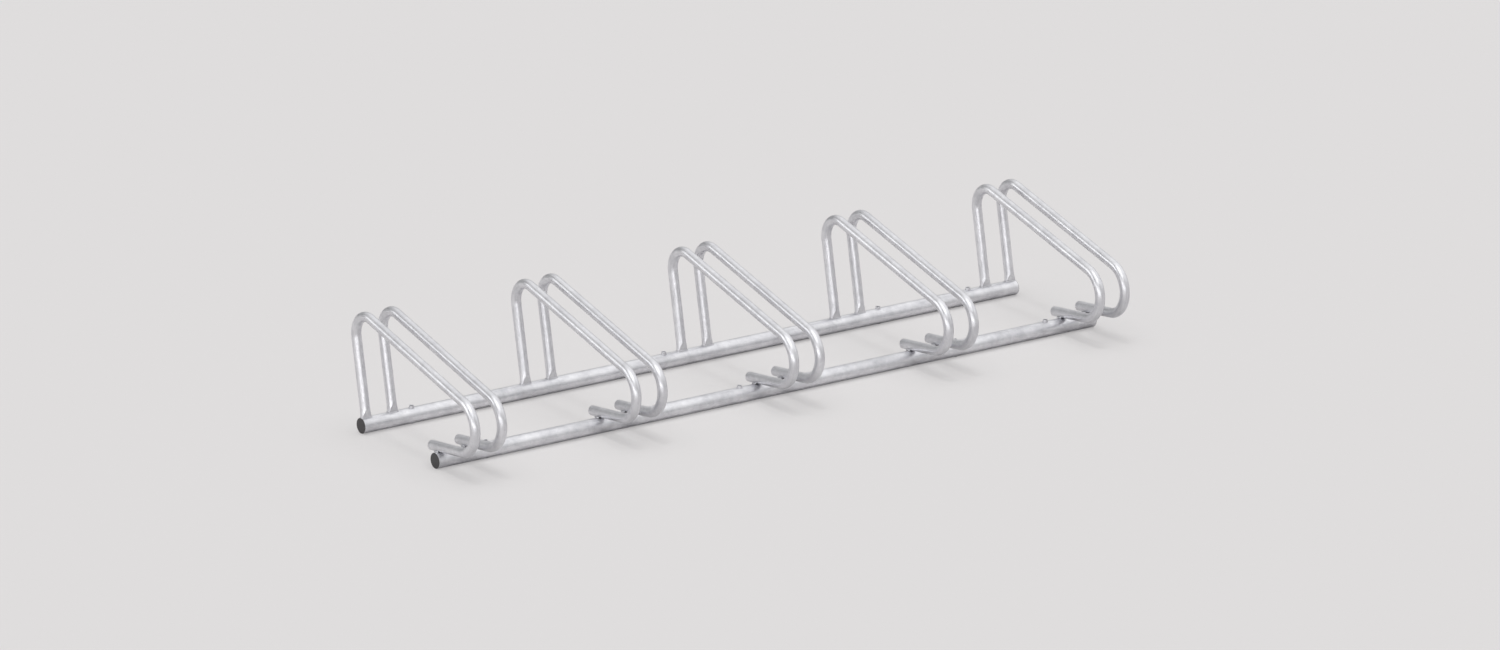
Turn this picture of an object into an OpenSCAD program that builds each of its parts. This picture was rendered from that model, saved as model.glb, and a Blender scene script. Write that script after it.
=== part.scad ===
// Floor bike rack: two tubular rails that lie on the ground and five pairs of bent tubular hoops.
// A wheel stands on the ground between the rails and between the two hoops of a pair.
// X runs along the rails, Y to the back, Z up; the origin is on the ground at the middle of the rack.

/* [Rails] */
// Outside diameter of both rails
rail_d = 42.4; // [34:0.1:60]
// Wall of the rail tube
rail_wall = 2.5; // [1.5:0.1:4]
// Distance between the rails, centre to centre
rail_spacing = 352; // [300:1:420]
// Rail left over beside the outermost hoops
rail_margin = 2; // [1.5:0.5:60]

/* [Wheel slots] */
// Distance from one wheel slot to the next
station_pitch = 500; // [350:5:700]
// Clear width of a slot, hoop to hoop
wheel_gap = 55.5; // [35:0.5:75]

/* [Hoops] */
// Outside diameter of the hoop tube
hoop_d = 26.9; // [20:0.1:30]
// Wall of the hoop tube
hoop_wall = 2; // [1.2:0.1:3]
// Top of the hoops above the ground
hoop_height = 332; // [310:1:400]
// How far the hoops stand out in front of the front rail's centre line
front_reach = 179.5; // [160:0.5:220]
// Backward lean of the rear leg from upright, in degrees
leg_lean = 11.2; // [0:0.1:16]
// Centre line radius of the bend at the top of the rear leg
apex_bend_r = 57; // [40:1:64]
// Centre line radius of the front bend
front_bend_r = 70; // [50:1:76]
// Slope of the bottom run towards the back, in degrees
stub_fall = 7; // [2:0.1:9]
// How far the bottom run ends behind the front rail's centre line
stub_past = 38; // [24:1:80]

/* [Crimped feet] */
// Height of the pressed end of the rear leg
crimp_height = 20; // [12:0.5:40]
// Front to back thickness of the pressed end on the rail
crimp_thickness = 12; // [8:0.5:18]
// How much the pressed end widens on each side
crimp_flare = 1.4; // [0.2:0.1:3]

/* [Ground anchors] */
// Outside diameter of the sleeves that are let into the rails
sleeve_d = 13.5; // [12:0.1:16]
// Bore of a sleeve, for an 8 mm ground bolt
anchor_hole_d = 9; // [6:0.1:9.5]
// How far a sleeve stands above the rail
sleeve_stand = 6; // [3:0.5:12]

/* [End plugs] */
// Thickness of the lip that covers the end of the rail
plug_lip = 1.5; // [1:0.1:4]
// How far the lip stays inside the edge of the rail
plug_inset = 0.5; // [0.1:0.1:1]
// Length of the shank inside the rail
plug_depth = 22; // [14:0.5:40]
// Wall of the hollow shank
plug_wall = 2; // [1.2:0.1:3]
// Height of the gripping ribs
plug_rib_height = 1.2; // [0.6:0.1:2]
// Width of one gripping rib
plug_rib_width = 1.5; // [1:0.1:2]

/* [Weld beads] */
// Bead radius along the feet of the rear legs
leg_weld_r = 2.3; // [1.5:0.1:3]
// Bead radius beside the bottom runs
stub_weld_r = 3; // [2.4:0.1:3.6]
// Bead radius round the sleeves
sleeve_weld_r = 1.2; // [0.8:0.1:1.6]

/* [Hidden] */
$fn = 72;
zinc = [0.79, 0.8, 0.8];
black = [0.27, 0.26, 0.27];
overrun = rail_d / 20;

// Where two round pieces would only graze each other, one is a touch fuller and the other ends inside it
swell_share = 0.004;
overlap_share = 0.04;
// Places of the sleeves along the rails, as shares of the slot pitch
sleeve_place_shares = [-1.8, -0.2, 1.2, 1.8];
// Where a bead runs beside a bottom run, as a share of the hoop's radius
stub_weld_place_share = 0.7;
// Length of such a bead, as a share of the hoop's diameter
stub_weld_length_share = 0.5;
stations = 5;
plug_ribs = 3;

swell = swell_share * hoop_d;
overlap = overlap_share * hoop_d;
rail_r = rail_d / 2;
hoop_r = hoop_d / 2;
sleeve_r = sleeve_d / 2;
hoop_bore = hoop_d - 2 * hoop_wall;
rail_bore = rail_d - 2 * rail_wall;
pair_spacing = wheel_gap + hoop_d;
row_length = (stations - 1) * station_pitch;
rail_length = row_length + pair_spacing + hoop_d + 2 * rail_margin;

// The two bends, as centres in the YZ plane; the front one rolls on the bottom run, which rests on the front rail
apex_z = hoop_height - hoop_r - apex_bend_r;
apex_back = tan(leg_lean) * (apex_z - rail_d) - apex_bend_r / cos(leg_lean);
back_reach = apex_back + apex_bend_r + hoop_r;
depth = front_reach + rail_spacing + back_reach;
front_y = front_reach - depth / 2;
back_y = front_y + rail_spacing;
apex = [back_y + apex_back, apex_z];
bend_ahead = front_reach - hoop_r - front_bend_r;
bend_z = rail_r + (rail_r + hoop_r + front_bend_r + sin(stub_fall) * bend_ahead) / cos(stub_fall);
bend = [front_y - bend_ahead, bend_z];

// The top run is the common tangent of both bends
top_rise = apex - bend;
top_slope = atan2(top_rise[1], top_rise[0]) - asin((front_bend_r - apex_bend_r) / norm(top_rise));

function around(centre, radius, angle) = centre + radius * [cos(angle), sin(angle)];

foot = [back_y, rail_d];
leg_length = norm(around(apex, apex_bend_r, -leg_lean) - foot);
top_start = around(apex, apex_bend_r, 90 + top_slope);
top_end = around(bend, front_bend_r, 90 + top_slope);
stub_start = around(bend, front_bend_r, 270 - stub_fall);
stub_length = (front_y + stub_past - stub_start[0]) / cos(stub_fall);
stub_along = [cos(stub_fall), -sin(stub_fall)];
stub_end = stub_start + stub_length * stub_along;

function station_x(number) = (number - 1) * station_pitch - row_length / 2;
function hoop_x(number, side) = station_x(number) + side * pair_spacing / 2;
function sleeve_x(number) = sleeve_place_shares[number - 1] * station_pitch;

// Lays a drawing made in the XY plane into the YZ plane
module upright(x) {
    translate([x, 0, 0])
        rotate([90, 0, 90])
            children();
}

module run(from, to, diameter) {
    way = to - from;
    translate([from[0], from[1], 0])
        rotate([0, 0, atan2(way[1], way[0])])
            rotate([0, 90, 0])
                cylinder(d = diameter, h = norm(way));
}

module arc(centre, radius, from, to, diameter) {
    translate([centre[0], centre[1], 0])
        rotate([0, 0, from])
            rotate_extrude(angle = to - from)
                translate([radius, 0])
                    circle(d = diameter);
}

// The pressed end of a leg: it flares a little sideways between two slanting flats
module crimp_flats(inset, drop) {
    slant = (hoop_r - crimp_thickness / 2) / crimp_height;
    low = crimp_thickness / 2 - slant * drop - inset;
    high = hoop_r - inset;
    for (side = [-1, 1])
        linear_extrude(height = 2 * hoop_d, center = true)
            polygon([
                [side * low, -drop], [side * high, crimp_height],
                [side * hoop_d, crimp_height], [side * hoop_d, -drop]
            ]);
}

module leg(inset, drop) {
    flare = crimp_flare / crimp_height;
    high = hoop_r - inset;
    translate([foot[0], foot[1], 0])
        rotate([0, 0, -leg_lean])
            difference() {
                translate([0, -drop, 0])
                    rotate([-90, 0, 0]) {
                        cylinder(r = high, h = drop + leg_length + overlap);
                        cylinder(r1 = high + flare * (crimp_height + drop), r2 = high, h = crimp_height + drop);
                    }
                crimp_flats(inset, drop + overrun);
            }
}

// Each run ends a little way inside its bend, which is fuller by swell
module hoop_line(inset, drop, past) {
    run_d = hoop_d - 2 * inset;
    bend_d = run_d + swell;
    top_way = overlap / norm(top_end - top_start) * (top_end - top_start);
    leg(inset, drop);
    arc(apex, apex_bend_r, -leg_lean, 90 + top_slope, bend_d);
    run(top_start - top_way, top_end + top_way, run_d);
    arc(bend, front_bend_r, 90 + top_slope, 270 - stub_fall, bend_d);
    run(stub_start - overlap * stub_along, stub_end + past * stub_along, run_d);
}

module hoop(number, side) {
    color(zinc)
        difference() {
            upright(hoop_x(number, side))
                difference() {
                    hoop_line(0, overrun, 0);
                    hoop_line(hoop_wall, 2 * overrun, overrun);
                }
            rail_rod(back_y);
        }
}

// A full length rod in the place of a rail, which seats and holes are cut with
module rail_rod(y) {
    translate([-rail_length / 2, y, rail_r])
        rotate([0, 90, 0])
            cylinder(d = rail_d, h = rail_length);
}

module rail(y) {
    color(zinc)
        difference() {
            rail_rod(y);
            translate([-rail_length / 2 - overrun, y, rail_r])
                rotate([0, 90, 0])
                    cylinder(d = rail_bore, h = rail_length + 2 * overrun);
            for (number = [1 : len(sleeve_place_shares)])
                translate([sleeve_x(number), y, -overrun])
                    cylinder(d = sleeve_d, h = rail_d + 2 * overrun);
        }
}

module sleeve(number, y) {
    color(zinc)
        translate([sleeve_x(number), y, 0])
            difference() {
                cylinder(d = sleeve_d, h = rail_d + sleeve_stand);
                translate([0, 0, -overrun])
                    cylinder(d = anchor_hole_d, h = rail_d + sleeve_stand + 2 * overrun);
            }
}

module plug(side, y) {
    lip_r = rail_r - plug_inset;
    shank_r = rail_bore / 2 - plug_rib_height;
    rib_step = plug_depth / (plug_ribs + 1);
    color(black)
        translate([side * rail_length / 2, y, rail_r])
            rotate([0, side * 90, 0]) {
                rotate_extrude()
                    polygon([
                        [0, plug_lip], [lip_r - plug_lip / 2, plug_lip], [lip_r, plug_lip / 2], [lip_r, 0],
                        [shank_r, 0], [shank_r, -plug_depth], [shank_r - plug_wall, -plug_depth],
                        [shank_r - plug_wall, -plug_wall], [0, -plug_wall]
                    ]);
                for (rib = [1 : plug_ribs])
                    translate([0, 0, -rib * rib_step - plug_rib_width / 2])
                        difference() {
                            cylinder(d = rail_bore, h = plug_rib_width);
                            translate([0, 0, -overrun])
                                cylinder(r = shank_r - plug_wall / 2, h = plug_rib_width + 2 * overrun);
                        }
            }
}

// Two beads along a foot, one in front and one behind
module leg_weld(x) {
    reach = hoop_r - leg_weld_r - swell;
    difference() {
        for (side = [-1, 1])
            translate([x, foot[0] + side * crimp_thickness / 2, foot[1]])
                rotate([0, 90, 0]) {
                    cylinder(r = leg_weld_r, h = 2 * reach, center = true);
                    for (end = [-reach, reach])
                        translate([0, 0, end])
                            sphere(r = leg_weld_r + swell);
                }
        upright(x)
            leg(0, 2 * overrun);
        rail_rod(back_y);
    }
}

// A bead in the groove beside a bottom run, where the run touches the rail
module stub_weld(x, side) {
    aside = stub_weld_place_share * hoop_r;
    lift = (hoop_r - sqrt(hoop_r * hoop_r - aside * aside)) / 2;
    reach = stub_weld_length_share * hoop_r;
    touch = around([front_y, rail_r], rail_r + lift, 90 - stub_fall);
    difference() {
        upright(x + side * aside)
            translate([touch[0], touch[1], 0])
                rotate([0, 0, -stub_fall])
                    rotate([0, 90, 0]) {
                        cylinder(r = stub_weld_r, h = 2 * reach, center = true);
                        for (end = [-reach, reach])
                            translate([0, 0, end])
                                sphere(r = stub_weld_r + swell);
                    }
        upright(x)
            run(stub_start, stub_end, hoop_d);
        rail_rod(front_y);
    }
}

module sleeve_weld(x, y) {
    sag = rail_r - sqrt(rail_r * rail_r - sleeve_r * sleeve_r);
    difference() {
        translate([x, y, rail_d - sag / 2])
            rotate_extrude()
                translate([sleeve_r, 0])
                    circle(r = sleeve_weld_r);
        translate([x, y, 0])
            cylinder(r = sleeve_r, h = 2 * rail_d);
        rail_rod(y);
    }
}

module front_rail() { rail(front_y); }
module back_rail() { rail(back_y); }

module hoop_1_left() { hoop(1, -1); }
module hoop_1_right() { hoop(1, 1); }
module hoop_2_left() { hoop(2, -1); }
module hoop_2_right() { hoop(2, 1); }
module hoop_3_left() { hoop(3, -1); }
module hoop_3_right() { hoop(3, 1); }
module hoop_4_left() { hoop(4, -1); }
module hoop_4_right() { hoop(4, 1); }
module hoop_5_left() { hoop(5, -1); }
module hoop_5_right() { hoop(5, 1); }

module front_left_plug() { plug(-1, front_y); }
module front_right_plug() { plug(1, front_y); }
module back_left_plug() { plug(-1, back_y); }
module back_right_plug() { plug(1, back_y); }

module front_sleeve_1() { sleeve(1, front_y); }
module front_sleeve_2() { sleeve(2, front_y); }
module front_sleeve_3() { sleeve(3, front_y); }
module front_sleeve_4() { sleeve(4, front_y); }
module back_sleeve_1() { sleeve(1, back_y); }
module back_sleeve_2() { sleeve(2, back_y); }
module back_sleeve_3() { sleeve(3, back_y); }
module back_sleeve_4() { sleeve(4, back_y); }

module leg_welds() {
    color(zinc)
        for (number = [1 : stations], side = [-1, 1])
            leg_weld(hoop_x(number, side));
}

module stub_welds() {
    color(zinc)
        for (number = [1 : stations], side = [-1, 1], edge = [-1, 1])
            stub_weld(hoop_x(number, side), edge);
}

module sleeve_welds() {
    color(zinc)
        for (number = [1 : len(sleeve_place_shares)], y = [front_y, back_y])
            sleeve_weld(sleeve_x(number), y);
}

front_rail();
back_rail();
hoop_1_left();
hoop_1_right();
hoop_2_left();
hoop_2_right();
hoop_3_left();
hoop_3_right();
hoop_4_left();
hoop_4_right();
hoop_5_left();
hoop_5_right();
front_left_plug();
front_right_plug();
back_left_plug();
back_right_plug();
front_sleeve_1();
front_sleeve_2();
front_sleeve_3();
front_sleeve_4();
back_sleeve_1();
back_sleeve_2();
back_sleeve_3();
back_sleeve_4();
leg_welds();
stub_welds();
sleeve_welds();
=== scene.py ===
import math

import bpy
import numpy as np
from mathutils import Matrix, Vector


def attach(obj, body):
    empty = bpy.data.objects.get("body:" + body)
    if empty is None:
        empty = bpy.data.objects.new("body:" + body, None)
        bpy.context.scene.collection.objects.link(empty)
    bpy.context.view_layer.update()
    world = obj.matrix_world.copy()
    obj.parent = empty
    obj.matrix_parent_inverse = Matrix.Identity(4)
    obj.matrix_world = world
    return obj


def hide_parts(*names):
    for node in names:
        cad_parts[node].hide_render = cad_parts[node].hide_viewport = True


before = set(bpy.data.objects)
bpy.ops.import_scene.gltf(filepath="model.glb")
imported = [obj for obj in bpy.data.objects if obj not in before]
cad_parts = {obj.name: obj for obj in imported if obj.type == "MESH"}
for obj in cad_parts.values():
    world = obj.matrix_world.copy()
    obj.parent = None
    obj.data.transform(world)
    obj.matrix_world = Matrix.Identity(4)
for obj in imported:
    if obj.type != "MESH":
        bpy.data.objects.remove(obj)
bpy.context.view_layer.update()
print("frame loaded:", len(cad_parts), "nodes")

# Sizes in millimetres, the same ones as in the part's source.
mm = 0.001
rack = {
    "railDiameter": 42.4,
    "railWall": 2.5,
    "railSpacing": 352,
    "railMargin": 2,
    "slotPitch": 500,
    "slots": 5,
    "wheelGap": 55.5,
    "hoopDiameter": 26.9,
    "hoopWall": 2,
    "hoopHeight": 332,
    "frontReach": 179.5,
    "legLean": 11.2,  # degrees
    "apexBend": 57,
    "frontBend": 70,
    "stubFall": 7,  # degrees
    "stubPast": 38,
}

railRadius = rack["railDiameter"] / 2
hoopRadius = rack["hoopDiameter"] / 2
pairSpacing = rack["wheelGap"] + rack["hoopDiameter"]
rowLength = (rack["slots"] - 1) * rack["slotPitch"]
railLength = rowLength + pairSpacing + rack["hoopDiameter"] + 2 * rack["railMargin"]
slotPlaces = [n * rack["slotPitch"] - rowLength / 2 for n in range(rack["slots"])]

lean, fall = math.radians(rack["legLean"]), math.radians(rack["stubFall"])
apexZ = rack["hoopHeight"] - hoopRadius - rack["apexBend"]
apexBack = math.tan(lean) * (apexZ - rack["railDiameter"]) - rack["apexBend"] / math.cos(lean)
depth = rack["frontReach"] + rack["railSpacing"] + apexBack + rack["apexBend"] + hoopRadius
frontY = rack["frontReach"] - depth / 2
backY = frontY + rack["railSpacing"]
bendAhead = rack["frontReach"] - hoopRadius - rack["frontBend"]
bendUp = (railRadius + hoopRadius + rack["frontBend"] + math.sin(fall) * bendAhead) / math.cos(fall)
apex = np.array([backY + apexBack, apexZ])
bend = np.array([frontY - bendAhead, railRadius + bendUp])
rise = apex - bend
narrowing = math.asin((rack["frontBend"] - rack["apexBend"]) / np.linalg.norm(rise))
slope = math.atan2(rise[1], rise[0]) - narrowing


def turned(angle):
    return np.array([math.cos(angle), math.sin(angle)])


def railTop(y, middle):  # height of a rail's surface beside its crest
    return railRadius + np.sqrt(railRadius ** 2 - (y - middle) ** 2)


# Camera: far off, to the left of the rack and a little above it.
view = {
    "yaw": 34.916,  # degrees from straight ahead
    "elevation": 17.641,
    "distance": 26845.6,
    "lookAt": (56.5, 61.64, 140.28),
    "focalPixels": 10131.9,
    "imageWidth": 1500,
    "sensorWidth": 36,
    "clipEnd": 200,  # metres
}


def addCamera():
    data = bpy.data.cameras.new("camera")
    data.sensor_width = view["sensorWidth"]
    data.lens = view["focalPixels"] / view["imageWidth"] * data.sensor_width
    data.clip_end = view["clipEnd"]
    camera = bpy.data.objects.new("camera", data)
    bpy.context.scene.collection.objects.link(camera)
    yaw, elevation = math.radians(view["yaw"]), math.radians(view["elevation"])
    level = math.cos(elevation)
    ahead = Vector((math.sin(yaw) * level, math.cos(yaw) * level, -math.sin(elevation)))
    camera.location = (Vector(view["lookAt"]) - ahead * view["distance"]) * mm
    camera.rotation_euler = (math.pi / 2 - elevation, 0, -yaw)
    bpy.context.scene.camera = camera


addCamera()
print("camera placed")


def linear(code):  # an sRGB hex value as a linear colour
    parts = [int(code[i:i + 2], 16) / 255 for i in (1, 3, 5)]
    return tuple(c / 12.92 if c <= 0.04045 else ((c + 0.055) / 1.055) ** 2.4 for c in parts) + (1,)


def addNode(tree, kind, values=None, **settings):  # a value is a number, a colour or another node's output
    node = tree.nodes.new("ShaderNode" + kind)
    for name, value in settings.items():
        setattr(node, name, value)
    for name, value in (values or {}).items():
        if isinstance(value, bpy.types.NodeSocket):
            tree.links.new(value, node.inputs[name])
        else:
            node.inputs[name].default_value = value
    return node


def newMaterial(name):
    material = bpy.data.materials.new(name)
    material.use_nodes = True
    material.node_tree.nodes.clear()
    return material, material.node_tree


# Hot-dip galvanised steel: bare zinc that froze on the tube. It gives a satin grey metal with faint pale
# and dark crystals, soft lengthwise streaks where the zinc ran off, and a slightly uneven coat that breaks
# up reflections.
zinc = {
    "pale": "#E0E0E3",
    "dark": "#C6C6CA",
    "crystal": 8,  # mm across one zinc crystal; a real one is 3 to 12
    "cloud": 38,  # mm across the larger pale and dark areas
    "streakLength": 70,  # mm
    "streakWidth": 3.5,  # mm
    "streakRoughness": 0.6,  # of the noise itself: how strong its finer parts are
    "wave": 26,  # mm between the swellings of the coat
    "waveDepth": 0.12,  # mm, about the thickness of the coat itself
    "reliefDepth": 0.012,  # mm, one crystal against the next
    "grain": 0.7,  # mm, the frosting of a crystal's face
    "grainDepth": 0.006,  # mm
    "grainBend": 0.6,  # mm, how far the grain bends the edge of a crystal
    "smooth": 0.26,
    "rough": 0.36,
    "grainRough": 0.06,  # how much the frosting adds to the roughness
    "tone": 0.55,  # how far from dark to pale the coat lies on average
    "spangled": 0.26,  # how much the crystals change the tone
    "toneLow": 0.1,  # tones below this are fully dark
    "toneHigh": 0.9,  # tones above this are fully pale
    "rail": {"shade": 1.0, "duller": 0.0, "cloudy": 1.7, "streaky": 0.2},
    "hoop": {"shade": 0.98, "duller": 0.0, "cloudy": 1.1, "streaky": 0.6},
    "sleeve": {"shade": 0.95, "duller": 0.02, "cloudy": 1.1, "streaky": 0.6},
    "bead": {"shade": 0.85, "duller": 0.08, "cloudy": 1.1, "streaky": 0.6},
}


def galvanised(name, straightened, duller, shade, cloudy, streaky):
    material, tree = newMaterial(name)
    if straightened:
        place = addNode(tree, "Attribute", attribute_name="tubeSpace").outputs["Vector"]
    else:
        place = addNode(tree, "TexCoord").outputs["Object"]
    streakScale = [1 / (zinc[size] * mm) for size in ("streakLength", "streakWidth", "streakWidth")]
    stretched = addNode(tree, "Mapping", {"Vector": place, "Scale": streakScale})
    streak = addNode(tree, "TexNoise", {
        "Vector": stretched.outputs[0], "Scale": 1, "Detail": 2, "Roughness": zinc["streakRoughness"],
    })
    cloud = addNode(tree, "TexNoise", {"Vector": place, "Scale": 1 / (zinc["cloud"] * mm), "Detail": 3})
    wave = addNode(tree, "TexNoise", {"Vector": place, "Scale": 1 / (zinc["wave"] * mm), "Detail": 1})
    grain = addNode(tree, "TexNoise", {"Vector": place, "Scale": 1 / (zinc["grain"] * mm), "Detail": 2})
    bend = (zinc["grainBend"] * mm,) * 3
    bent = addNode(tree, "VectorMath", {0: grain.outputs["Color"], 1: bend, 2: place},
                   operation="MULTIPLY_ADD")
    crystal = addNode(tree, "TexVoronoi", {"Vector": bent.outputs[0], "Scale": 1 / (zinc["crystal"] * mm)})
    cell = addNode(tree, "SeparateColor", {"Color": crystal.outputs["Color"]})

    start = zinc["tone"] - 0.5 * (cloudy + streaky + zinc["spangled"])  # each noise has its mean at 0.5
    tone = addNode(tree, "Math", {0: cloud.outputs[0], 1: cloudy, 2: start}, operation="MULTIPLY_ADD")
    tone = addNode(tree, "Math", {0: streak.outputs[0], 1: streaky, 2: tone.outputs[0]},
                   operation="MULTIPLY_ADD")
    tone = addNode(tree, "Math", {0: cell.outputs[0], 1: zinc["spangled"], 2: tone.outputs[0]},
                   operation="MULTIPLY_ADD")
    share = addNode(tree, "MapRange", {
        "Value": tone.outputs[0], "From Min": zinc["toneLow"], "From Max": zinc["toneHigh"],
    })
    dark, pale = ([shade * part for part in linear(zinc[key])[:3]] + [1] for key in ("dark", "pale"))
    colour = addNode(tree, "Mix", {0: share.outputs[0], 6: dark, 7: pale}, data_type="RGBA")
    rough = addNode(tree, "MapRange", {
        "Value": cell.outputs[1], "To Min": zinc["smooth"] + duller, "To Max": zinc["rough"] + duller,
    })
    rough = addNode(tree, "Math", {0: grain.outputs[0], 1: zinc["grainRough"], 2: rough.outputs[0]},
                    operation="MULTIPLY_ADD")
    normal = None
    heights = {"waveDepth": wave.outputs[0], "reliefDepth": cell.outputs[2], "grainDepth": grain.outputs[0]}
    for depth, height in heights.items():
        values = {"Height": height, "Strength": 1, "Distance": zinc[depth] * mm}
        if normal:
            values["Normal"] = normal
        normal = addNode(tree, "Bump", values).outputs[0]
    shader = addNode(tree, "BsdfPrincipled", {
        "Base Color": colour.outputs[2], "Metallic": 1, "Roughness": rough.outputs[0], "Normal": normal,
    })
    addNode(tree, "OutputMaterial", {"Surface": shader.outputs[0]})
    return material


# Moulded polyethylene, black: a fine matt skin from the spark-eroded mould, with soft broad highlights.
plastic = {
    "colour": "#444243",
    "ior": 1.51,
    "roughness": 0.55,
    "unevenness": 0.06,  # how far the roughness strays to each side
    "shading": 0.15,  # how far the colour's value strays to each side
    "pit": 0.5,  # mm between the mould's pits
    "pitDepth": 0.04,  # mm
    "cloud": 9,  # mm
}


def polyethylene(name):
    material, tree = newMaterial(name)
    place = addNode(tree, "TexCoord").outputs["Object"]
    pit = addNode(tree, "TexNoise", {"Vector": place, "Scale": 1 / (plastic["pit"] * mm), "Detail": 3})
    cloud = addNode(tree, "TexNoise", {"Vector": place, "Scale": 1 / (plastic["cloud"] * mm), "Detail": 2})
    stray, shading = plastic["unevenness"], plastic["shading"]
    low = plastic["roughness"] - stray
    rough = addNode(tree, "Math", {0: cloud.outputs[0], 1: 2 * stray, 2: low}, operation="MULTIPLY_ADD")
    bump = addNode(tree, "Bump", {
        "Height": pit.outputs[0], "Strength": 1, "Distance": plastic["pitDepth"] * mm,
    })
    value = addNode(tree, "MapRange", {
        "Value": cloud.outputs[0], "To Min": 1 - shading, "To Max": 1 + shading,
    })
    colour = addNode(tree, "HueSaturation", {"Color": linear(plastic["colour"]), "Value": value.outputs[0]})
    shader = addNode(tree, "BsdfPrincipled", {
        "Base Color": colour.outputs[0], "Roughness": rough.outputs[0], "IOR": plastic["ior"],
        "Normal": bump.outputs[0],
    })
    addNode(tree, "OutputMaterial", {"Surface": shader.outputs[0]})
    return material


railZinc = galvanised("galvanisedSteelRail", False, **zinc["rail"])
hoopZinc = galvanised("galvanisedSteelHoop", True, **zinc["hoop"])
sleeveZinc = galvanised("galvanisedSteelSleeve", False, **zinc["sleeve"])
weldZinc = galvanised("galvanisedWeldBead", False, **zinc["bead"])
blackPlastic = polyethylene("blackPolyethyleneMouldedMatt")
print("materials made")


def makePiece(name, vertices, faces, material, along=None):  # in mm; along: places on the straightened tube
    mesh = bpy.data.meshes.new(name)
    places = (np.asarray(vertices, float) * mm).tolist()
    mesh.from_pydata(places, [], [tuple(int(i) for i in face) for face in faces])
    if along is not None:
        stored = mesh.attributes.new("tubeSpace", "FLOAT_VECTOR", "POINT")
        stored.data.foreach_set("vector", (np.asarray(along, float) * mm).ravel())
    mesh.materials.append(material)
    mesh.validate()
    mesh.shade_smooth()
    piece = bpy.data.objects.new(name, mesh)
    bpy.context.scene.collection.objects.link(piece)
    return piece


def ringFaces(count, steps, closed):  # between rings of vertices, one after the other
    faces = []
    for i in range(count if closed else count - 1):
        here, there = i * steps, (i + 1) % count * steps
        for j in range(steps):
            k = (j + 1) % steps
            faces.append((here + j, here + k, there + k, there + j))
    return faces


def lathe(profile, steps, closed=True):  # profile: (radius, height) pairs, turned about Z
    angles = np.linspace(0, 2 * math.pi, steps, endpoint=False)
    rings = [np.stack([r * np.cos(angles), r * np.sin(angles), np.full(steps, h)], 1) for r, h in profile]
    return np.concatenate(rings), ringFaces(len(rings), steps, closed)


def quarter(centre, radius, start, steps=4):  # points of a quarter round
    angles = [math.radians(start + 90 * k / steps) for k in range(steps + 1)]
    return [tuple(np.array(centre) + radius * turned(angle)) for angle in angles]


def joined(parts):
    vertices, faces, count = [], [], 0
    for some, these in parts:
        vertices.append(some)
        faces += [tuple(i + count for i in face) for face in these]
        count += len(some)
    return np.concatenate(vertices), faces


def fitted(piece, slot, *nodes):
    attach(piece, "root")
    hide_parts(*nodes)
    return piece


# The two tubes on the ground, drilled for the sleeves.
rail = {
    "around": 128,
    "endRound": 0.5,  # mm, the cut end under its zinc
    "drillOverrun": 2,  # mm that a hole's cutter stands out on both sides
    "creaseAngle": 35,  # degrees, edges above this stay sharp
    "sleevePlaces": (-1.8, -0.2, 1.2, 1.8),  # in slot pitches from the middle
}
sleeve = {  # right through a rail, so that a ground bolt doesn't crush it
    "diameter": 13.5,
    "bore": 9,
    "stand": 6,  # mm above the rail
    "edgeRound": 0.8,
    "lowerEdge": 0.3,  # mm, the small edge at the ground
    "around": 48,
}
sleevePlaces = [share * rack["slotPitch"] for share in rail["sleevePlaces"]]


def railPiece(name, y, node):
    half, bore, edge = railLength / 2, railRadius - rack["railWall"], rail["endRound"]
    profile = quarter((railRadius - edge, half - edge), edge, 0)
    profile += quarter((bore + edge, half - edge), edge, 90)
    profile += [(r, -h) for r, h in reversed(profile)]
    vertices, faces = lathe(profile, rail["around"])
    lying = np.stack([vertices[:, 2], y + vertices[:, 0], railRadius + vertices[:, 1]], 1)
    piece = makePiece(name, lying, faces, railZinc)
    drills = []
    for x in sleevePlaces:
        over = rail["drillOverrun"]
        hole = [(sleeve["diameter"] / 2, -over), (sleeve["diameter"] / 2, rack["railDiameter"] + over)]
        vertices, faces = lathe(hole, sleeve["around"], False)
        around = sleeve["around"]
        faces += [tuple(reversed(range(around))), tuple(range(around, 2 * around))]
        drills.append((vertices + np.array([x, y, 0]), faces))
    drill = makePiece(name + "Drill", *joined(drills), railZinc)
    cut = piece.modifiers.new("sleeveHoles", "BOOLEAN")
    cut.object, cut.operation, cut.solver = drill, "DIFFERENCE", "EXACT"
    bpy.context.view_layer.update()
    piece.data = bpy.data.meshes.new_from_object(piece.evaluated_get(bpy.context.evaluated_depsgraph_get()))
    piece.modifiers.clear()
    bpy.data.objects.remove(drill)
    piece.data.set_sharp_from_angle(angle=math.radians(rail["creaseAngle"]))
    return fitted(piece, "rail_zinc", node)


railPiece("railTubeFront", frontY, "front_rail")
railPiece("railTubeBack", backY, "back_rail")
print("rails made")


def sleevePiece(name, x, y, node):
    radius, bore, top = sleeve["diameter"] / 2, sleeve["bore"] / 2, rack["railDiameter"] + sleeve["stand"]
    edge, low = sleeve["edgeRound"], sleeve["lowerEdge"]
    profile = quarter((radius - edge, top - edge), edge, 0) + quarter((bore + edge, top - edge), edge, 90)
    profile += [(bore, low), (bore + low, 0), (radius - low, 0), (radius, low)]
    vertices, faces = lathe(profile, sleeve["around"])
    return fitted(makePiece(name, vertices + np.array([x, y, 0]), faces, sleeveZinc), "sleeve_zinc", node)


for rowName, y in (("front", frontY), ("back", backY)):
    for number, x in enumerate(sleevePlaces, 1):
        sleevePiece(f"anchorSleeve{rowName.capitalize()}{number}", x, y, f"{rowName}_sleeve_{number}")
print("sleeves made")

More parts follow.
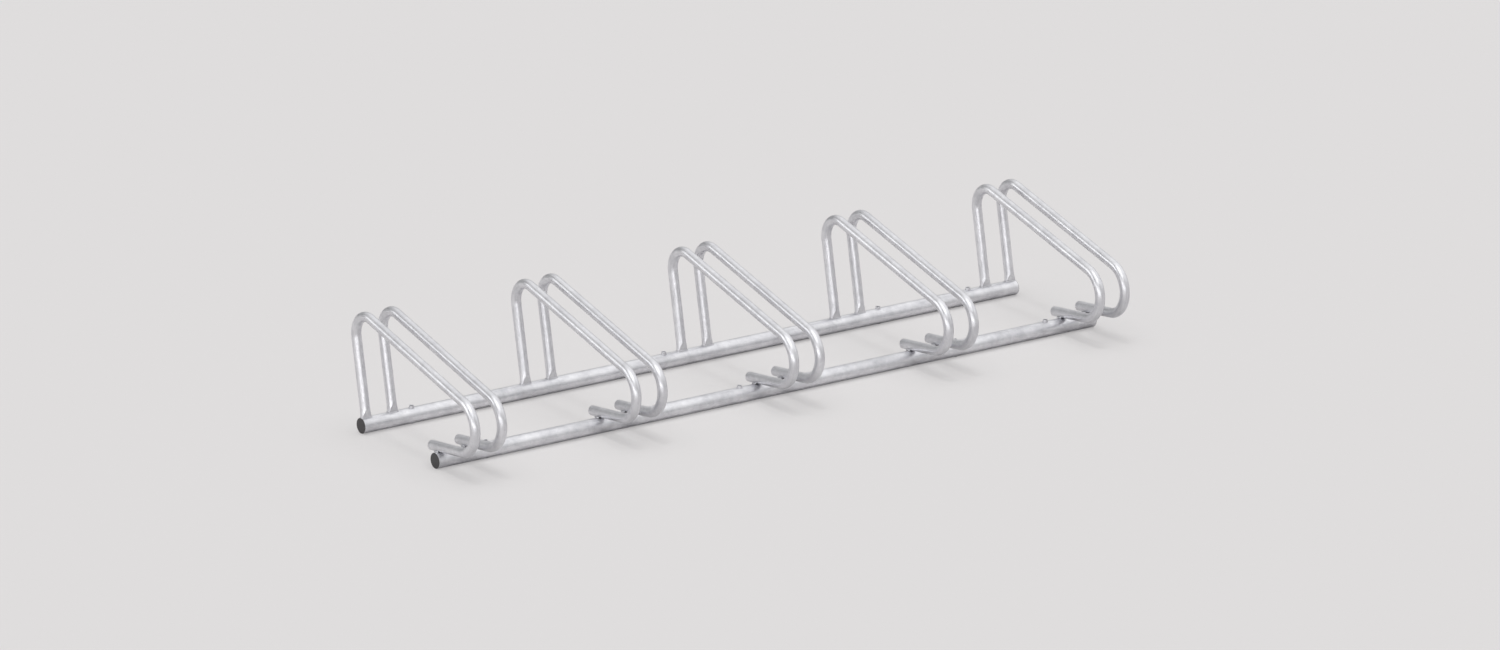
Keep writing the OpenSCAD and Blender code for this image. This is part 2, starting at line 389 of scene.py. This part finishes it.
# Moulded plugs in the ends of the rails, with a lip outside and ribs that grip the bore.
plug = {
    "lip": 1.5,
    "inset": 0.5,
    "depth": 22,
    "wall": 2,
    "rib": 1.2,
    "ribWidth": 1.5,
    "ribs": 3,
    "edgeRound": 0.7,
    "ribPlay": 0.1,  # mm between a rib and the bore
    "crown": 0.35,  # mm, how far the middle of the face bulges
    "crownRings": (0.001, 0.25, 0.5, 0.75),  # shares of the lip's radius
    "creaseAngle": 40,  # degrees
    "around": 72,
}


def plugPiece(name, side, y, node):
    bore = railRadius - rack["railWall"]
    lip, shank = railRadius - plug["inset"], bore - plug["rib"]
    edge, top = plug["edgeRound"], plug["lip"] - plug["crown"]
    profile = [(lip * r, plug["lip"] - plug["crown"] * r * r) for r in plug["crownRings"]]
    profile += list(reversed(quarter((lip - edge, top - edge), edge, 0))) + [(lip, 0), (shank, 0)]
    for n in range(1, plug["ribs"] + 1):
        middle, half = -n * plug["depth"] / (plug["ribs"] + 1), plug["ribWidth"] / 2
        profile += [(shank, middle + half), (bore - plug["ribPlay"], middle + half / 2)]
        profile += [(bore - plug["ribPlay"], middle - half / 2), (shank, middle - half)]
    profile += [(shank, -plug["depth"]), (shank - plug["wall"], -plug["depth"])]
    profile += [(shank - plug["wall"], -plug["wall"]), (lip * plug["crownRings"][0], -plug["wall"])]
    vertices, faces = lathe(list(reversed(profile)), plug["around"])
    lying = np.stack([side * (railLength / 2 + vertices[:, 2]), y + side * vertices[:, 0],
                      railRadius + vertices[:, 1]], 1)
    piece = makePiece(name, lying, faces, blackPlastic)
    piece.data.set_sharp_from_angle(angle=math.radians(plug["creaseAngle"]))
    return fitted(piece, "plug_black", node)


for rowName, y in (("front", frontY), ("back", backY)):
    for side, sideName in ((-1, "left"), (1, "right")):
        name = f"endPlug{rowName.capitalize()}{sideName.capitalize()}"
        plugPiece(name, side, y, f"{rowName}_{sideName}_plug")
print("plugs made")

# Each hoop is one bent tube: a pressed foot on the back rail, a leg, a bend, a long top run, the front
# bend, and a bottom run that turns back and lies on the front rail.
hoop = {
    "around": 64,
    "straightStep": 14,  # mm between rings on a straight run
    "bendStep": 3,  # degrees
    "crimpHeight": 20,
    "crimpThickness": 12,
    "crimpFlare": 1.4,
    "crimpSteps": 14,
    "seatRounds": 30,  # steps in which the rim settles on the rail
    "sunk": 0.2,  # mm that the rim reaches into the rail's zinc
    "endRound": 0.6,  # mm, the cut end under its zinc
    "endSteps": 4,
    "creaseAngle": 50,  # degrees
    "freshStation": 1700,  # mm along the streaks from one slot's tubes to the next
    "freshSide": 700,  # mm along the streaks between the two tubes of a pair
}

hoopAngles = np.linspace(0, 2 * math.pi, hoop["around"], endpoint=False)
legFoot = np.array([backY, rack["railDiameter"]])
legTop = apex + rack["apexBend"] * turned(-lean)
legWay = (legTop - legFoot) / np.linalg.norm(legTop - legFoot)
stubStart = bend + rack["frontBend"] * turned(3 * math.pi / 2 - fall)
stubEnd = stubStart + (frontY + rack["stubPast"] - stubStart[0]) / math.cos(fall) * turned(-fall)


def centreLine():
    points, ways = [], []

    def straight(a, b, first=1):
        steps = math.ceil(np.linalg.norm(b - a) / hoop["straightStep"]) + 1
        for t in np.linspace(0, 1, steps)[first:]:
            points.append(a + t * (b - a))
            ways.append((b - a) / np.linalg.norm(b - a))

    def curved(centre, radius, start, end):
        for t in np.linspace(start, end, math.ceil(math.degrees(end - start) / hoop["bendStep"]) + 1)[1:]:
            points.append(centre + radius * turned(t))
            ways.append(turned(t + math.pi / 2))

    topAngle = math.pi / 2 + slope
    straight(legFoot + legWay * hoop["crimpHeight"], legTop, 0)
    curved(apex, rack["apexBend"], -lean, topAngle)
    straight(apex + rack["apexBend"] * turned(topAngle), bend + rack["frontBend"] * turned(topAngle))
    curved(bend, rack["frontBend"], topAngle, 3 * math.pi / 2 - fall)
    straight(stubStart, stubEnd)
    return np.array(points), np.array(ways)


def pressed(heights, inset):  # the foot's rim: round, wider than the tube, between two slanting flats
    radius = hoopRadius - inset + hoop["crimpFlare"] * (1 - heights / hoop["crimpHeight"])
    slant = (hoopRadius - hoop["crimpThickness"] / 2) / hoop["crimpHeight"]
    half = hoop["crimpThickness"] / 2 + slant * heights - inset
    thick, wide = np.clip(radius * np.cos(hoopAngles), -half, half), radius * np.sin(hoopAngles)
    places = legFoot + heights[:, None] * legWay + thick[:, None] * np.array([-legWay[1], legWay[0]])
    return np.stack([wide, places[:, 0], places[:, 1]], 1), np.stack([heights, thick, wide], 1)


def seatOf(inset, sunk):  # how high each point of the rim stands, so that it follows the back rail
    seat = np.zeros(len(hoopAngles))
    for _ in range(hoop["seatRounds"]):
        places, _ = pressed(seat, inset)
        seat = seat + (railTop(places[:, 1], backY) - sunk - places[:, 2]) / legWay[1]
    return seat


def skin(inset):
    seat, (points, ways) = seatOf(inset, hoop["sunk"]), centreLine()
    rings, along = [], []
    for share in np.linspace(0, 1, hoop["crimpSteps"], endpoint=False):
        places, straightened = pressed(seat + (hoop["crimpHeight"] - seat) * share, inset)
        rings.append(places)
        along.append(straightened)
    thick, wide = (hoopRadius - inset) * np.cos(hoopAngles), (hoopRadius - inset) * np.sin(hoopAngles)
    steps = np.linalg.norm(np.diff(points, axis=0), axis=1)
    lengths = hoop["crimpHeight"] + np.concatenate([[0], np.cumsum(steps)])
    for point, way, length in zip(points, ways, lengths):
        rings.append(np.stack([wide, point[0] - thick * way[1], point[1] + thick * way[0]], 1))
        along.append(np.stack([np.full(len(thick), length), thick, wide], 1))
    return rings, along


def hoopShell():
    (outer, outerAlong), (inner, innerAlong) = skin(0), skin(rack["hoopWall"])
    lastRing, lastAlong, endMiddle = outer[-1], outerAlong[-1], np.array([0, *stubEnd])
    back, edge = np.array([0, *turned(-fall)]), hoop["endRound"]
    turns = np.linspace(0, math.pi / 2, hoop["endSteps"])
    rounding = [(edge * (1 - math.cos(t)), edge * (1 - math.sin(t))) for t in turns]
    rounding += [(rack["hoopWall"] - inset, drawn) for inset, drawn in reversed(rounding)]
    rings, along = outer[:-1], outerAlong[:-1]
    for inset, drawn in rounding:
        share = 1 - inset / hoopRadius
        rings.append(endMiddle + (lastRing - endMiddle) * share - back * drawn)
        along.append(lastAlong * np.array([1, share, share]) - np.array([drawn, 0, 0]))
    rings += inner[-2::-1]
    along += innerAlong[-2::-1]
    return np.concatenate(rings), np.concatenate(along), ringFaces(len(rings), hoop["around"], True)


def addHoops():
    rings, along, faces = hoopShell()
    for number, place in enumerate(slotPlaces, 1):
        for side, sideName in ((-1, "left"), (1, "right")):
            middle = np.array([place + side * pairSpacing / 2, 0, 0])
            fresh = [hoop["freshStation"] * number + hoop["freshSide"] * side, 0, 0]
            name = f"hoopTube{number}{sideName.capitalize()}"
            piece = makePiece(name, rings + middle, faces, hoopZinc, along + np.array(fresh))
            piece.data.set_sharp_from_angle(angle=math.radians(hoop["creaseAngle"]))
            fitted(piece, "hoop_zinc", f"hoop_{number}_{sideName}")
    print("hoops made:", len(faces), "faces each")


addHoops()

# Weld beads: at the feet, along both sides of the bottom runs and round the sleeves.
weld = {
    "around": 14,
    "step": 0.45,  # mm between rings, fine enough for the ripples
    "ripple": 2.6,  # mm from one ripple to the next
    "rippleDepth": 0.16,  # mm
    "leastRings": 8,
    "leastRadius": 0.05,  # mm, at the very ends
    "sideShare": 0.45,  # how early a foot's bead grows thinner towards its sides
    "legFront": 2.3,  # radius in front of and behind a foot
    "legSide": 1.3,  # radius at a foot's sides
    "stubPlace": 0.7,  # share of the hoop's radius beside a bottom run
    "stubLength": 19,
    "stub": 3,  # radius
    "stubSteps": 25,
    "sleeve": 1.2,  # radius
    "sleeveSteps": 96,
}


def bead(path, radii, closed):  # a rippled round bead along a path that stays nearly level
    path, radii = np.asarray(path, float), np.asarray(radii, float)
    if closed:
        path, radii = np.vstack([path, path[:1]]), np.append(radii, radii[0])
    gone = np.concatenate([[0], np.cumsum(np.linalg.norm(np.diff(path, axis=0), axis=1))])
    count = max(weld["leastRings"], round(gone[-1] / weld["step"]))
    places = np.linspace(0, gone[-1], count, endpoint=not closed)
    middle = np.stack([np.interp(places, gone, path[:, k]) for k in range(3)], 1)
    waves = round(gone[-1] / weld["ripple"]) if closed else gone[-1] / weld["ripple"]
    ripple = 1 - np.abs(np.sin(math.pi * waves * places / gone[-1]))
    radius = np.maximum(weld["leastRadius"], np.interp(places, gone, radii) - weld["rippleDepth"] * ripple)
    if closed:
        way = np.roll(middle, -1, axis=0) - np.roll(middle, 1, axis=0)
    else:
        way = np.gradient(middle, axis=0)
    way /= np.linalg.norm(way, axis=1)[:, None]
    side = np.cross(way, [0, 0, 1])
    side /= np.linalg.norm(side, axis=1)[:, None]
    up = np.cross(side, way)
    rings = []
    for point, s, u, r in zip(middle, side, up, radius):
        angles = np.linspace(0, 2 * math.pi, weld["around"], endpoint=False)[:, None]
        rings.append(point + r * (np.cos(angles) * s + np.sin(angles) * u))
    faces = ringFaces(count, weld["around"], closed)
    if not closed:
        last = (count - 1) * weld["around"]
        faces += [tuple(reversed(range(weld["around"]))), tuple(range(last, last + weld["around"]))]
    return np.concatenate(rings), faces


def legBead(x):
    rim, _ = pressed(seatOf(0, 0), 0)
    flat = np.abs(np.cos(np.arctan2(rim[:, 0] * weld["sideShare"], rim[:, 1] - rim[:, 1].mean())))
    radii = weld["legSide"] + (weld["legFront"] - weld["legSide"]) * flat
    return bead(rim + np.array([x, 0, 0]), radii, True)


def stubBead(x, side):
    aside = weld["stubPlace"] * hoopRadius
    reach = weld["stubLength"] / 2
    steps = np.linspace(-reach, reach, weld["stubSteps"])
    touch = np.array([frontY, railRadius]) + (railRadius + hoopRadius) * turned(math.pi / 2 - fall)
    under = touch + steps[:, None] * turned(-fall)
    drop = math.sqrt(hoopRadius ** 2 - aside ** 2)
    y = under[:, 0] - drop / 2 * math.sin(fall)
    tubeSide = under[:, 1] - drop * math.cos(fall)
    height = (tubeSide + railTop(y, frontY)) / 2
    swell = np.sqrt(np.maximum(0, 1 - (steps / reach) ** 4))  # full along its length, round at the ends
    path = np.stack([np.full(len(steps), x + side * aside), y, height], 1)
    return bead(path, weld["stub"] * swell, False)


def sleeveBead(x, y):
    angles = np.linspace(0, 2 * math.pi, weld["sleeveSteps"], endpoint=False)
    radius = sleeve["diameter"] / 2
    rim = np.stack([x + radius * np.cos(angles), y + radius * np.sin(angles),
                    railTop(y + radius * np.sin(angles), y)], 1)
    return bead(rim, np.full(len(angles), weld["sleeve"]), True)


def addBeads():
    hoopPlaces = [place + side * pairSpacing / 2 for place in slotPlaces for side in (-1, 1)]
    groups = (
        ("legBeads", "leg_welds", [legBead(x) for x in hoopPlaces]),
        ("stubBeads", "stub_welds", [stubBead(x, side) for x in hoopPlaces for side in (-1, 1)]),
        ("sleeveBeads", "sleeve_welds", [sleeveBead(x, y) for x in sleevePlaces for y in (frontY, backY)]),
    )
    for name, node, beads in groups:
        vertices, faces = joined(beads)
        fitted(makePiece(name, vertices, faces, weldZinc), "weld_zinc", node)
        print(name, "made:", len(faces), "faces")


addBeads()

# A pale floor in a bright room. The metal mirrors the room, which is the world that addRoom makes. Soft
# lamps overhead stand for the same room on matt surfaces, and part of the floor's paleness is its own,
# which keeps the shadows faint.
studio = {
    "floor": "#DFDDDD",
    "floorSize": 60,  # metres
    "floorRoughness": 0.9,
    "ownPaleness": 0.48,  # share of the floor's light that has no shadow, as the camera sees it
    "mirroredPaleness": 0.02,  # the same share as metal mirrors it
    # name, compass point from the rack (0 is the back, 90 the right), height, share of the floor's light,
    # width in degrees
    "lamps": (
        ("ceilingLamp", 0, 90, 0.46, 140),
        ("softboxLamp", 0, 90, 0.43, 60),
        ("topLamp", -100, 87, 0.11, 9),
    ),
    "base": 0.41,  # how bright the rest of the room is
    # compass point and height of each bright part of the room, how far it is full and where it is gone, in
    # degrees from its middle, and its strength
    "glows": (
        (-125, -56, 5, 89, 5.1),  # low and wide, behind the camera
        (-137, 60, 24, 30, 1.05),
        (99, 61, 0, 83, 0.82),
        (-62, 21, 4, 24, 1.9),
    ),
}


def heading(compass, height):
    around, up = math.radians(compass), math.radians(height)
    return Vector((math.sin(around) * math.cos(up), math.cos(around) * math.cos(up), math.sin(up)))


def addFloor():
    half = studio["floorSize"] / 2
    mesh = bpy.data.meshes.new("studioFloor")
    corners = [(-half, -half, 0), (half, -half, 0), (half, half, 0), (-half, half, 0)]
    mesh.from_pydata(corners, [], [(0, 1, 2, 3)])
    material, tree = newMaterial("mattPaintedFloor")
    shader = addNode(tree, "BsdfPrincipled", {
        "Base Color": linear(studio["floor"]), "Roughness": studio["floorRoughness"],
        "Specular IOR Level": 0,
    })
    glow = addNode(tree, "Emission", {"Color": linear(studio["floor"]), "Strength": 1})
    ray = addNode(tree, "LightPath")
    seen, glossy, through = (ray.outputs[f"Is {kind} Ray"] for kind in ("Camera", "Glossy", "Transmission"))
    mirrored = addNode(tree, "Math", {0: glossy, 1: through}, operation="MAXIMUM")
    share = addNode(tree, "Math", {0: mirrored.outputs[0], 1: studio["mirroredPaleness"]},
                    operation="MULTIPLY")
    share = addNode(tree, "Math", {0: seen, 1: studio["ownPaleness"], 2: share.outputs[0]},
                    operation="MULTIPLY_ADD")
    both = addNode(tree, "MixShader", {0: share.outputs[0], 1: shader.outputs[0], 2: glow.outputs[0]})
    addNode(tree, "OutputMaterial", {"Surface": both.outputs[0]})
    mesh.materials.append(material)
    floor = bpy.data.objects.new("studioFloor", mesh)
    bpy.context.scene.collection.objects.link(floor)


def addLamps():
    for name, compass, height, share, width in studio["lamps"]:
        data = bpy.data.lights.new(name, "SUN")
        data.angle = math.radians(width)
        way = heading(compass, height)
        data.energy = math.pi * share / way.z  # together they light a level floor to its own colour
        lamp = bpy.data.objects.new(name, data)
        lamp.rotation_euler = way.to_track_quat("Z", "Y").to_euler()
        lamp.visible_glossy = False
        bpy.context.scene.collection.objects.link(lamp)


def addRoom():
    world = bpy.data.worlds.new("studioWorld")
    world.use_nodes = True
    world.cycles_visibility.diffuse = False
    tree = world.node_tree
    tree.nodes.clear()
    way = addNode(tree, "TexCoord").outputs["Generated"]
    level = studio["base"]
    for compass, height, full, gone, strength in studio["glows"]:
        facing = addNode(tree, "VectorMath", {0: way, 1: heading(compass, height)}, operation="DOT_PRODUCT")
        glow = addNode(tree, "MapRange", {
            "Value": facing.outputs["Value"], "From Min": math.cos(math.radians(gone)),
            "From Max": math.cos(math.radians(full)), "To Min": 0.0, "To Max": strength,
        }, interpolation_type="SMOOTHSTEP")
        level = addNode(tree, "Math", {0: glow.outputs[0], 1: level}, operation="ADD").outputs[0]
    room = addNode(tree, "Background", {"Color": (1, 1, 1, 1), "Strength": level})
    plain = addNode(tree, "Background", {"Color": linear(studio["floor"]), "Strength": 1})
    ray = addNode(tree, "LightPath")
    seen = ray.outputs["Is Camera Ray"]
    both = addNode(tree, "MixShader", {0: seen, 1: room.outputs[0], 2: plain.outputs[0]})
    addNode(tree, "OutputWorld", {0: both.outputs[0]})
    bpy.context.scene.world = world
    bpy.context.scene.view_settings.view_transform = "Standard"


addFloor()
addLamps()
addRoom()
print("studio made")
